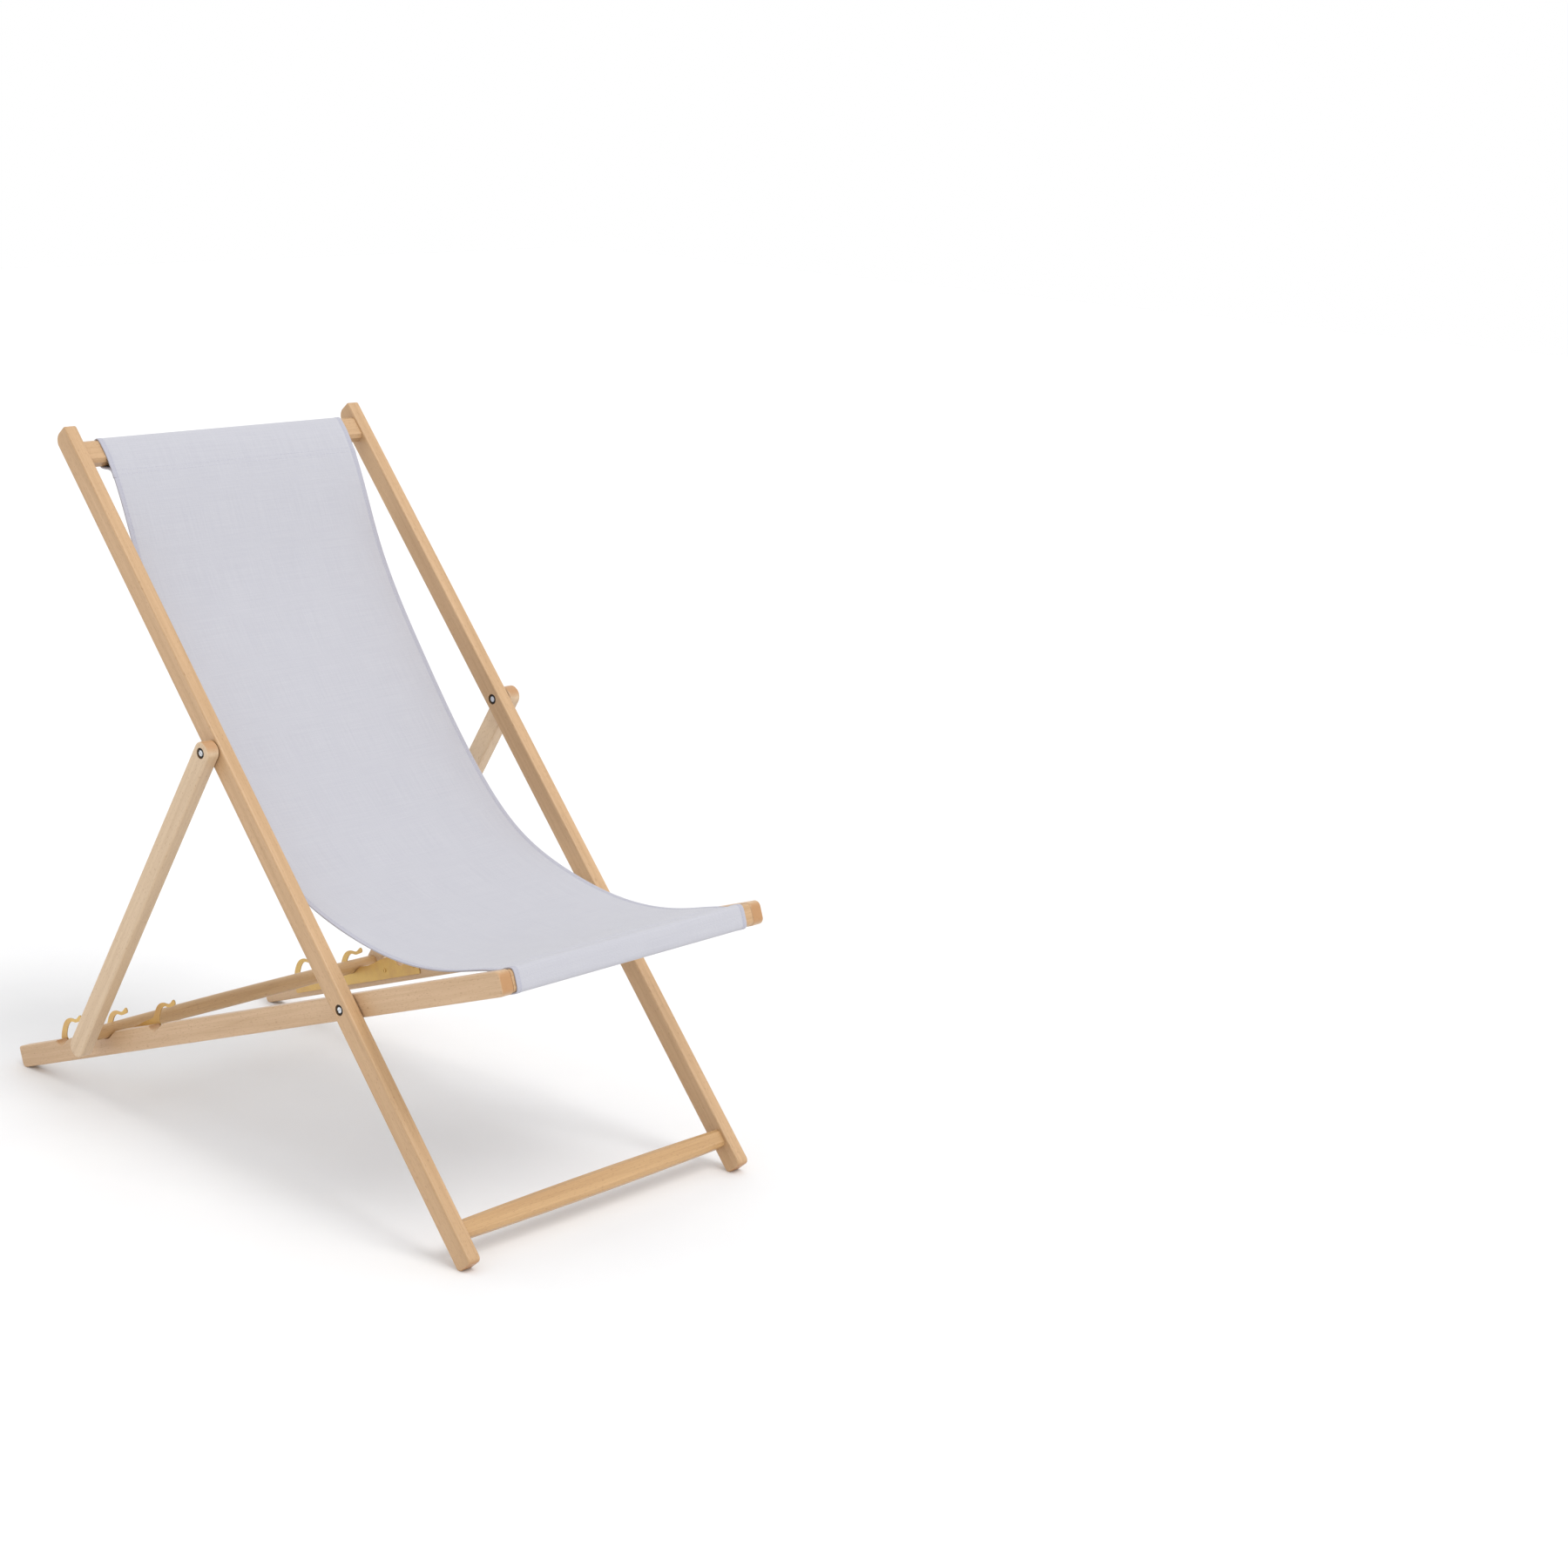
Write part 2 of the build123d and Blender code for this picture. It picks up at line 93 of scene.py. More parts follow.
# Each kind of wooden piece: which beech it is, and its grain's direction in side view or ACROSS.
ACROSS = None
WOODEN = {
    "back_rail": ("back", BACK_UP),
    "seat_rail": ("seat", SEAT_REARWARD),
    "prop_strut": ("strut", STRUT_UP),
    "top_rail": ("back", ACROSS),
    "front_rail": ("back", ACROSS),
    "bottom_rail": ("bar", ACROSS),
    "prop_dowel": ("bar", ACROSS),
}


# ---- properties -----------------------------------------------------------------------------
def linear(hex_colour):
    """An sRGB hex colour as linear red, green, blue and alpha."""
    srgb = np.array([int(hex_colour[i : i + 2], 16) for i in (0, 2, 4)]) / 255
    curve = np.where(srgb <= 0.04045, srgb / 12.92, ((srgb + 0.055) / 1.055) ** 2.4)
    return (*curve.tolist(), 1.0)


def length_property(name, description, millimetres):
    """A length that a user can change, in metres."""
    return bpy.props.FloatProperty(
        name=name, description=description, default=millimetres * MM, unit="LENGTH", precision=5
    )


def colour_property(name, description, hex_colour):
    """A colour that a user can change."""
    return bpy.props.FloatVectorProperty(
        name=name, description=description, default=linear(hex_colour), size=4,
        subtype="COLOR", min=0.0, max=1.0,
    )


class DeckChairSizes(bpy.types.PropertyGroup):
    """Sizes of the cloth and its sewing."""

    width: length_property("Width", "Finished width of the sling at the top", 432)
    narrowing: length_property("Narrowing", "How much narrower it is at the front", 13)
    drift: length_property("Drift", "How far the front has slid to one side", 6)
    thickness: length_property("Thickness", "One layer of canvas", 0.9)
    hem: length_property("Hem", "Width of the folded hem along each side", 8)
    hem_fold: length_property("Hem fold", "Extra thickness of the folded hem, at the back", 1.4)
    seam: length_property("Seam", "From a rail's edge to the seam that closes its sleeve", 17)
    tail: length_property("Tail", "Cloth left beyond a sleeve's seam", 10)
    ease: length_property("Ease", "Middle of the cloth's thickness to the wood, in a sleeve", 1.8)
    sag: length_property("Sag", "How much lower the middle of the width hangs than the sides", 4)
    pucker: length_property("Pucker", "Height of the small waves beside a seam", 0.6)
    stitch: length_property("Stitch", "From one stitch to the next", 3.8)
    thread: length_property("Thread", "Thickness of the sewing thread", 0.7)
    row_gap: length_property("Row gap", "Between the two rows that close a sleeve", 6)


class DeckChairColours(bpy.types.PropertyGroup):
    """Colours of the finishes."""

    back_light: colour_property("Back rails, light", "Pale early wood", "C6A27A")
    back_dark: colour_property("Back rails, dark", "Late wood between the pale bands", "B49067")
    seat_light: colour_property("Seat rails, light", "Pinker beech", "CBAA86")
    seat_dark: colour_property("Seat rails, dark", "Its late wood", "BA9872")
    strut_light: colour_property("Struts, light", "Pinkest, unsteamed beech", "D3B999")
    strut_dark: colour_property("Struts, dark", "Its late wood", "C5A988")
    bar_light: colour_property("Cross bars, light", "Steamed, more orange beech", "C59F70")
    bar_dark: colour_property("Cross bars, dark", "Its late wood", "B38C5E")
    fleck: colour_property("Fleck", "Short dark rays in the wood", "8A6038")
    end_grain: colour_property("End grain", "Ends of the rails, where lacquer soaks in", "AF7D4B")
    # Painted shade: the dark inside the recess round each bolt, where shade falls.
    counterbore_shade: colour_property("Counterbore", "Wood darkened by the drill, round a bolt", "2A1F17")
    canvas: colour_property("Canvas", "Pale lavender grey cotton", "C0C0C6")
    canvas_gap: colour_property("Canvas, gaps", "Between the threads", "A9A9B4")
    canvas_hem: colour_property("Canvas, hems", "Three layers, so less light comes through", "B4B4BF")
    sewing_thread: colour_property("Thread", "Polyester sewing thread", "C9C9D5")
    yellow_zinc: colour_property("Yellow zinc", "Passivated plating", "DDBA74")
    yellow_zinc_rosy: colour_property("Yellow zinc, rosy", "Rosier clouds in the plating", "D2AC72")
    yellow_zinc_edge: colour_property("Yellow zinc, edges", "Stamped edges of the plates", "8A6038")
    bright_zinc: colour_property("Bright zinc", "Clear passivated plating", "DDDFE1")
    bright_zinc_dull: colour_property("Bright zinc, dull", "Duller spots in the plating", "B4B8BC")
    # Painted shade: the near-black ring round each bolt's bright middle, in the shadow of its recess.
    bolt_rim_shade: colour_property("Bolt, rim", "Oiled dark steel round the bright middle", "1E1D1C")
    floor: colour_property("Floor", "Studio floor", "F0F0F0")
    floor_dust: colour_property("Floor, mottle", "Slightly darker patches of the floor", "EBEBEC")


class DeckChairView(bpy.types.PropertyGroup):
    """The camera."""

    place: bpy.props.FloatVectorProperty(
        name="Place", description="Where the camera stands", default=(-2.617, -3.110, 1.560),
        size=3, subtype="TRANSLATION",
    )
    azimuth: bpy.props.FloatProperty(
        name="Azimuth", description="Turned from +Y towards +X", default=math.radians(48.24),
        subtype="ANGLE",
    )
    fall: bpy.props.FloatProperty(
        name="Fall", description="How far it looks down", default=math.radians(14.38),
        subtype="ANGLE",
    )
    roll: bpy.props.FloatProperty(
        name="Roll", description="Turned about its line of sight", default=math.radians(2.27),
        subtype="ANGLE",
    )
    lens: bpy.props.FloatProperty(
        name="Lens", description="Focal length on a 36 mm sensor, in millimetres", default=67.87
    )


# ---- meshes ---------------------------------------------------------------------------------
def add_piece(name, points, faces, material, uv=None):
    """A smooth-shaded mesh at the origin, with an optional UV pair for each point, in metres."""
    mesh = bpy.data.meshes.new(name)
    mesh.from_pydata(points.tolist(), [], faces.tolist())
    mesh.polygons.foreach_set("use_smooth", np.ones(len(faces), bool))
    if uv is not None:
        corner = np.empty(len(mesh.loops), np.int32)
        mesh.loops.foreach_get("vertex_index", corner)
        layer = mesh.uv_layers.new(name="cloth_metres")
        layer.data.foreach_set("uv", uv[corner].astype(np.float32).ravel())
    mesh.materials.append(material)
    mesh.update()
    piece = bpy.data.objects.new(name, mesh)
    bpy.context.scene.collection.objects.link(piece)
    return piece


def tube_faces(rows, around):
    """Quads between neighbouring rings of a grid of rings, closed round each ring."""
    ring = np.arange(around)
    after = (ring + 1) % around
    start = np.arange(rows - 1)[:, None] * around
    quads = np.stack((start + ring, start + around + ring, start + around + after, start + after))
    return quads.reshape(4, -1).T


def cap_faces(first, around):
    """Quads across one ring, from its first half to its second half, which runs back beside it."""
    k = np.arange(around // 2 - 1)
    return first + np.stack((k, k + 1, around - 2 - k, around - 1 - k), axis=1)


# ---- the cloth's path -----------------------------------------------------------------------
def smooth_line(points):
    """The natural cubic spline through side-view points: how far along, and where.

    The parameter is the distance between neighbouring points added up. The second derivatives
    are zero at both ends and solve the usual three-term equations in between.
    """
    gap = np.linalg.norm(np.diff(points, axis=0), axis=1)
    at = np.concatenate(([0.0], np.cumsum(gap)))
    slope = np.diff(points, axis=0) / gap[:, None]
    system = np.diag(2 * (gap[:-1] + gap[1:])) + np.diag(gap[1:-1], 1) + np.diag(gap[1:-1], -1)
    second = np.zeros_like(points)
    second[1:-1] = np.linalg.solve(system, 6 * np.diff(slope, axis=0))
    step = 0.5 * MM
    fine = np.linspace(0, at[-1], int(at[-1] / step))
    i = np.clip(np.searchsorted(at, fine) - 1, 0, len(gap) - 1)
    h = gap[i][:, None]
    a = (at[i + 1] - fine)[:, None]
    b = (fine - at[i])[:, None]
    line = (
        (second[i] * a**3 + second[i + 1] * b**3) / (6 * h)
        + (points[i] / h - second[i] * h / 6) * a
        + (points[i + 1] / h - second[i + 1] * h / 6) * b
    )
    run = np.concatenate(([0.0], np.cumsum(np.linalg.norm(np.diff(line, axis=0), axis=1))))
    return run, line


def wrapped(half_along, half_across, start, end):
    """Part of a rounded rectangle round a rail: |x/a|^4 + |y/b|^4 = 1, between two angles."""
    angle = np.radians(np.linspace(start, end, 22))
    x = half_along * np.sign(np.cos(angle)) * np.sqrt(np.abs(np.cos(angle)))
    y = half_across * np.sign(np.sin(angle)) * np.sqrt(np.abs(np.sin(angle)))
    return np.stack((x, y), axis=1)


class ClothPath:
    """The side view of the sling, from its upper tail to its front one.

    The cloth goes up behind the top rail, over it, hangs down through the back rails and
    behind them, rises over the front rail, and comes back under it to the front seam.
    """

    # Half the size of each rail inside a sleeve, along its frame and across it, and the part of
    # the rail that its sleeve follows, in degrees.
    top_half = (18 * MM, 10 * MM)
    front_half = (10.5 * MM, 15 * MM)
    top_wrap = (-122, 112)
    front_wrap = (68, 302)
    # The hanging part: share of the way from the main pivot to the rail, and millimetres from the
    # centre line of the back rails or the seat rails.
    hang_along_back = ((0.80, -31), (0.595, -55), (0.39, -60), (0.23, -38))
    hang_along_seat = ((-0.07, 101), (0.136, 67), (0.358, 41), (0.647, 23.5))
    # Across its frame, from a rail's centre to its seam, and how far the tail's end turns aside.
    top_seam_height = 7.8 * MM
    front_seam_height = 16.9 * MM
    top_tail_turn = -1.9 * MM
    front_tail_turn = 0.6 * MM
    # The seams are further than this from both ends of the cloth.
    wrap_room = 60 * MM
    # From one ring of the mesh to the next, near the rails and between them.
    fine_step = 1.5 * MM
    broad_step = 5 * MM
    fine_past_seam = 20 * MM
    # A wave across the cloth is 2 pi times as long as these.
    pucker_waves = (6.1 * MM, 23 * MM)
    broad_wave = 31 * MM
    # Along the cloth, how soon a pucker starts beside its seam and how soon it dies away.
    pucker_start = 6 * MM
    pucker_end = 22 * MM
    # Points for the back frame above the first and the seat frame beyond the second, each measured
    # from the main pivot beside its own frame. Nothing in this script reads them.
    turns_from = (330 * MM, -60 * MM)
    turns_to = (-190 * MM, 23 * MM)

    def __init__(self, sizes):
        # In a seam, from the middle of one layer to the middle of the next.
        self.layer = 1.5 * sizes.thickness
        top = [half + sizes.ease for half in self.top_half]
        front = [half + sizes.ease for half in self.front_half]
        top_seam = -(self.top_half[0] + sizes.seam)
        front_seam = self.front_half[0] + sizes.seam
        at_top = [
            (top_seam - sizes.tail, self.top_seam_height - self.layer + self.top_tail_turn),
            (top_seam, self.top_seam_height - self.layer),
            *wrapped(*top, *self.top_wrap),
            (top_seam, self.top_seam_height),
        ]
        at_front = [
            (front_seam, self.front_seam_height),
            *wrapped(*front, *self.front_wrap),
            (front_seam, self.front_seam_height - self.layer),
            (front_seam + sizes.tail, self.front_seam_height - self.layer + self.front_tail_turn),
        ]
        on_back = [(share * TOP_RAIL_UP_BACK, y * MM) for share, y in self.hang_along_back]
        on_seat = [(share * FRONT_RAIL_ALONG_SEAT, y * MM) for share, y in self.hang_along_seat]
        points = np.concatenate(
            (
                placed(TOP_RAIL, BACK_UP, at_top),
                placed(MAIN_PIVOT, BACK_UP, on_back),
                placed(MAIN_PIVOT, SEAT_REARWARD, on_seat),
                placed(FRONT_RAIL, SEAT_REARWARD, at_front),
            )
        )
        self.at, self.line = smooth_line(points)
        tangent = np.gradient(self.line, self.at, axis=0)
        self.outward = -left_of(tangent / np.linalg.norm(tangent, axis=1)[:, None])
        self.length = float(self.at[-1])
        self.top_seam = self.nearest(placed(TOP_RAIL, BACK_UP, at_top[-1:])[0])
        self.front_seam = self.nearest(placed(FRONT_RAIL, SEAT_REARWARD, at_front[:1])[0])

    def nearest(self, point):
        """How far along the cloth a point of its hanging part lies."""
        hanging = (self.at > self.wrap_room) & (self.at < self.length - self.wrap_room)
        away = np.linalg.norm(self.line - point, axis=1) + np.where(hanging, 0, 1)
        return float(self.at[np.argmin(away)])

    def rows(self):
        """Where the cloth's rings stand: close together round the rails, further apart between."""
        first = np.arange(0, self.top_seam + self.fine_past_seam, self.fine_step)
        last = np.arange(self.length, self.front_seam - self.fine_past_seam, -self.fine_step)[::-1]
        between = np.linspace(first[-1], last[0], int((last[0] - first[-1]) / self.broad_step))
        return np.concatenate((first, between[1:-1], last))

    def points(self, sizes, s, u, lift):
        """Places on the cloth: s along it, u across it, lift outwards from its middle layer.

        The middle of the width hangs lower by a parabola in u, fading out at both seams. Beside
        a seam, small waves in u make a pucker that dies away within a few centimetres. Broad
        slanting waves, as faint, run over the whole hanging part.
        """
        y, z, ny, nz = (
            np.interp(s, self.at, column) for column in (*self.line.T, *self.outward.T)
        )
        hung = np.clip((s - self.top_seam) / (self.front_seam - self.top_seam), 0, 1)
        sag = sizes.sag * (1 - (2 * u / sizes.width) ** 2) * np.sin(math.pi * hung)
        from_seam = np.minimum(np.abs(s - self.top_seam), np.abs(s - self.front_seam))
        short, long = self.pucker_waves
        waves = np.sin(u / short) * np.sin(u / long + 1.3)
        fade = np.exp(-from_seam / self.pucker_end) * (1 - np.exp(-from_seam / self.pucker_start))
        broad = np.sin(u / self.broad_wave + 5 * s) * np.sin(math.pi * hung) ** 2
        rise = sizes.pucker * (waves * fade + broad)
        lift = lift - sag + np.where((hung > 0) & (hung < 1), rise, 0)
        share = s / self.length
        x = u * (1 - sizes.narrowing / sizes.width * share) - sizes.drift * share**2
        return np.stack((x, y + lift * ny, z + lift * nz), axis=-1)


def cloth_section(sizes):
    """The cloth's cross-section as one closed ring of (u, lift): its front, then its back.

    The front is flat with a shallow groove along each row of hem stitches. The back stands
    further out over the folded hems. Both close in a half ellipse at each edge.
    """
    half = sizes.width / 2
    rim_width = 1.3 * MM
    groove_width = 0.7 * MM
    groove_depth = 0.25 * MM
    fold_slope = 0.7 * MM
    # Columns of points stand close together over each hem, and about 10 mm apart between them.
    over_hem = np.array([0, 0.1, 0.4, 0.9, 1.6, 3.5, 5.4, 6, 6.5, 7, 7.6, 8.1, 8.8, 10]) * MM
    between_hems = np.linspace(-half + 13 * MM, half - 13 * MM, 42)
    u = np.concatenate((over_hem - half, between_hems, half - over_hem[::-1]))
    inward = half - np.abs(u)
    rim = np.sqrt(np.clip(1 - (1 - np.clip(inward / rim_width, 0, 1)) ** 2, 0.02, 1))
    row = sizes.hem - HEM_ROW_INSET
    groove = groove_depth * np.exp(-(((inward - row) / groove_width) ** 2))
    fold = sizes.hem_fold * np.clip((sizes.hem - inward) / fold_slope, 0, 1)
    front = (sizes.thickness / 2 + HEM_FOLD_IN_FRONT * fold - groove) * rim
    back = -(sizes.thickness / 2 + fold - groove) * rim
    return np.concatenate((u, u[::-1])), np.concatenate((front, back[::-1]))


def add_cloth(path, sizes, canvas):
    """The sling: its section carried along its path, and closed at both ends."""
    u, lift = cloth_section(sizes)
    s = path.rows()[:, None]
    around = len(u)
    points = path.points(sizes, s, u, np.broadcast_to(lift, (len(s), around)))
    faces = np.concatenate(
        (
            tube_faces(len(s), around),
            cap_faces(0, around),
            cap_faces((len(s) - 1) * around, around)[:, ::-1],
        )
    )
    uv = np.stack(np.broadcast_arrays(u, s), axis=-1).reshape(-1, 2)
    return add_piece("sling_cloth", points.reshape(-1, 3), faces, canvas, uv)


def stitch_shape(sizes):
    """One stitch as points (along, beside, lift) and faces: a spindle of five rings of six.

    Its half thickness is r sqrt(1 - v^2), with v from -1 to 1 along it. It fills a little less
    than three quarters of the way to the next stitch.
    """
    half_length = 0.36 * sizes.stitch
    around = 6
    v = np.array([-0.999, -0.75, 0.0, 0.75, 0.999])
    turn = np.arange(around) * math.tau / around
    reach = sizes.thread / 2 * np.sqrt(1 - v**2)
    along = np.repeat(half_length * v, around)
    beside = np.outer(reach, np.cos(turn)).ravel()
    lift = np.outer(reach, np.sin(turn)).ravel()
    faces = np.concatenate(
        (
            tube_faces(len(v), around)[:, ::-1],
            cap_faces(0, around)[:, ::-1],
            cap_faces((len(v) - 1) * around, around),
        )
    )
    return np.stack((along, beside, lift), axis=1), faces


def add_stitches(name, path, sizes, rows, material):
    """Every stitch of some rows as one mesh. A row is (s, u, lift, whether it runs along s)."""
    shape, faces = stitch_shape(sizes)
    s, u, lift = [], [], []
    for row_s, row_u, row_lift, along_s in rows:
        row_s, row_u = np.broadcast_arrays(row_s, row_u)
        along, beside = (shape[:, 0], shape[:, 1]) if along_s else (-shape[:, 1], shape[:, 0])
        s.append(row_s[:, None] + along)
        u.append(row_u[:, None] + beside)
        lift.append(np.broadcast_to(row_lift + shape[:, 2], s[-1].shape))
    s, u, lift = (np.concatenate(part) for part in (s, u, lift))
    points = path.points(sizes, s, u, lift).reshape(-1, 3)
    first = np.arange(len(s))[:, None, None] * len(shape)
    return add_piece(name, points, (first + faces).reshape(-1, 4), material)


def hem_rows(path, sizes):
    """A row of stitches along each hem, seen on the front and on the back."""
    s = np.arange(ROW_END, path.length - ROW_END, sizes.stitch)
    u = sizes.width / 2 - sizes.hem + HEM_ROW_INSET
    front = sizes.thickness / 2 + HEM_FOLD_IN_FRONT * sizes.hem_fold
    back = -(sizes.thickness / 2 + sizes.hem_fold)
    return [
        (s, side * u, height, True)
        for side in (-1, 1)
        for height in (front - SUNK, back + SUNK)
    ]


def sleeve_rows(path, sizes):
    """Two rows of stitches across the cloth at each sleeve, seen on the front and on the back."""
    reach = sizes.width / 2 - sizes.hem + HEM_ROW_INSET - ROW_END
    u = np.arange(-reach, reach, sizes.stitch)
    front = sizes.thickness / 2
    back = -(path.layer + sizes.thickness / 2)
    top = (path.top_seam, path.top_seam + sizes.row_gap)
    bottom = (path.front_seam, path.front_seam - sizes.row_gap)
    return [(s, u, height, False) for s in (*top, *bottom) for height in (front, back)]


# ---- materials ------------------------------------------------------------------------------
def add(tree, kind, values=None, links=None, **settings):
    """Add a node: its own settings, its input values, and the sockets that feed its inputs."""
    node = tree.nodes.new(kind)
    for name, value in settings.items():
        setattr(node, name, value)
    for key, value in (values or {}).items():
        node.inputs[key].default_value = value
    for key, socket in (links or {}).items():
        tree.links.new(socket, node.inputs[key])
    return node


def empty_material(name):
    """A new material with nothing in its tree, and the tree."""
    material = bpy.data.materials.new(name)
    material.use_nodes = True
    material.node_tree.nodes.clear()
    return material, material.node_tree


def from_pivots(tree, place):
    """A socket with the side-view distance to the nearer of the two pivots' axes."""
    flat = add(
        tree, "ShaderNodeVectorMath", {1: (0, 1, 1)}, {0: place.outputs["Object"]},
        operation="MULTIPLY",
    )
    main, prop = (
        add(
            tree, "ShaderNodeVectorMath", {1: (0, float(pivot[0]), float(pivot[1]))},
            {0: flat.outputs[0]}, operation="DISTANCE",
        )
        for pivot in (MAIN_PIVOT, PROP_PIVOT)
    )
    nearer = add(
        tree, "ShaderNodeMath", links={0: main.outputs["Value"], 1: prop.outputs["Value"]},
        operation="MINIMUM",
    )
    return nearer.outputs[0]


def lacquered_beech(name, light, dark, colours, grain, seed):
    """Planed beech with a clear satin lacquer.

    Beech is pale and even, with soft bands along the rail and short darker flecks. Its ends drink
    more lacquer, so they are deeper and more orange. The recess round a bolt gets painted shade.
    """
    material, tree = empty_material(name)
    place = add(tree, "ShaderNodeTexCoord")
    # Two turns bring the grain onto the pattern's X: level in side view, then across to along.
    if grain is ACROSS:
        line, tilt, turn = (1, 0, 0), 0, (0, 0, 0)
    else:
        line = (0, float(grain[0]), float(grain[1]))
        tilt, turn = math.atan2(line[2], line[1]), (0, 0, -math.pi / 2)
    level = add(
        tree, "ShaderNodeMapping", {"Rotation": (-tilt, 0, 0)}, {"Vector": place.outputs["Object"]}
    )
    grain_space = add(
        tree, "ShaderNodeMapping",
        {"Rotation": turn, "Location": (0.71 * seed, 0.13 * seed, 0.29 * seed)},
        {"Vector": level.outputs[0]},
    )
    # Bands about 8 mm wide and a quarter of a metre long.
    broad = add(
        tree, "ShaderNodeMapping", {"Scale": (1 / 0.25, 1 / 0.008, 1 / 0.008)},
        {"Vector": grain_space.outputs[0]},
    )
    bands = add(
        tree, "ShaderNodeTexNoise",
        {"Scale": 1.0, "Detail": 3.0, "Roughness": 0.55, "Distortion": 0.4},
        {"Vector": broad.outputs[0]},
    )
    # Fibres are far finer than this. They are drawn 1.4 mm wide so that they show.
    thin = add(
        tree, "ShaderNodeMapping", {"Scale": (1 / 0.07, 1 / 0.0014, 1 / 0.0014)},
        {"Vector": grain_space.outputs[0]},
    )
    fibres = add(
        tree, "ShaderNodeTexNoise", {"Scale": 1.0, "Detail": 2.0, "Roughness": 0.6},
        {"Vector": thin.outputs[0]},
    )
    # Flecks about 5 mm long and 1 mm wide.
    short = add(
        tree, "ShaderNodeMapping", {"Scale": (1 / 0.0055, 1 / 0.0011, 1 / 0.0011)},
        {"Vector": grain_space.outputs[0]},
    )
    rays = add(
        tree, "ShaderNodeTexNoise", {"Scale": 1.0, "Detail": 0.0}, {"Vector": short.outputs[0]}
    )
    fleck = add(
        tree, "ShaderNodeMapRange",
        {"From Min": 0.66, "From Max": 0.8, "To Min": 0.0, "To Max": 0.34},
        {"Value": rays.outputs["Fac"]},
    )
    fine = add(
        tree, "ShaderNodeMath", {1: 0.5, 2: -0.25}, {0: fibres.outputs["Fac"]},
        operation="MULTIPLY_ADD",
    )
    figure = add(
        tree, "ShaderNodeMath", links={0: bands.outputs["Fac"], 1: fine.outputs[0]},
        operation="ADD",
    )
    shade = add(
        tree, "ShaderNodeMapRange", {"From Min": 0.3, "From Max": 0.78},
        {"Value": figure.outputs[0]},
    )
    wood = add(
        tree, "ShaderNodeMix", {6: light, 7: dark}, {0: shade.outputs[0]}, data_type="RGBA"
    )
    flecked = add(
        tree, "ShaderNodeMix", {7: colours.fleck}, {0: fleck.outputs[0], 6: wood.outputs[2]},
        data_type="RGBA",
    )
    # End grain is where the surface faces along the grain.
    facing = add(
        tree, "ShaderNodeVectorMath", {1: line}, {0: place.outputs["Normal"]},
        operation="DOT_PRODUCT",
    )
    facing_size = add(
        tree, "ShaderNodeMath", links={0: facing.outputs["Value"]}, operation="ABSOLUTE"
    )
    end = add(
        tree, "ShaderNodeMapRange",
        {"From Min": 0.55, "From Max": 0.95, "To Min": 0.0, "To Max": 0.8},
        {"Value": facing_size.outputs[0]},
    )
    ended = add(
        tree, "ShaderNodeMix", {7: colours.end_grain},
        {0: end.outputs[0], 6: flecked.outputs[2]}, data_type="RGBA",
    )
    # Within 7.5 mm of a pivot's axis only the drilled recess shows, and painted shade darkens it.
    # The rest is inside the joint.
    colour = ended.outputs[2]
    if grain is not ACROSS:
        painted_shade_share = add(
            tree, "ShaderNodeMapRange",
            {"From Min": 7.9 * MM, "From Max": 7.3 * MM, "To Min": 0.0, "To Max": 0.92},
            {"Value": from_pivots(tree, place)},
        )
        colour = add(
            tree, "ShaderNodeMix", {7: colours.counterbore_shade}, {0: painted_shade_share.outputs[0], 6: colour},
            data_type="RGBA",
        ).outputs[2]
    roughness = add(
        tree, "ShaderNodeMapRange", {"To Min": 0.34, "To Max": 0.52},
        {"Value": fibres.outputs["Fac"]},
    )
    bump = add(
        tree, "ShaderNodeBump", {"Strength": 0.35, "Distance": 0.12 * MM},
        {"Height": figure.outputs[0]},
    )
    shader = add(
        tree, "ShaderNodeBsdfPrincipled", {"IOR": 1.5, "Coat Weight": 0.22, "Coat Roughness": 0.28},
        {"Base Color": colour, "Roughness": roughness.outputs[0], "Normal": bump.outputs[0]},
    )
    add(tree, "ShaderNodeOutputMaterial", links={"Surface": shader.outputs[0]})
    return material


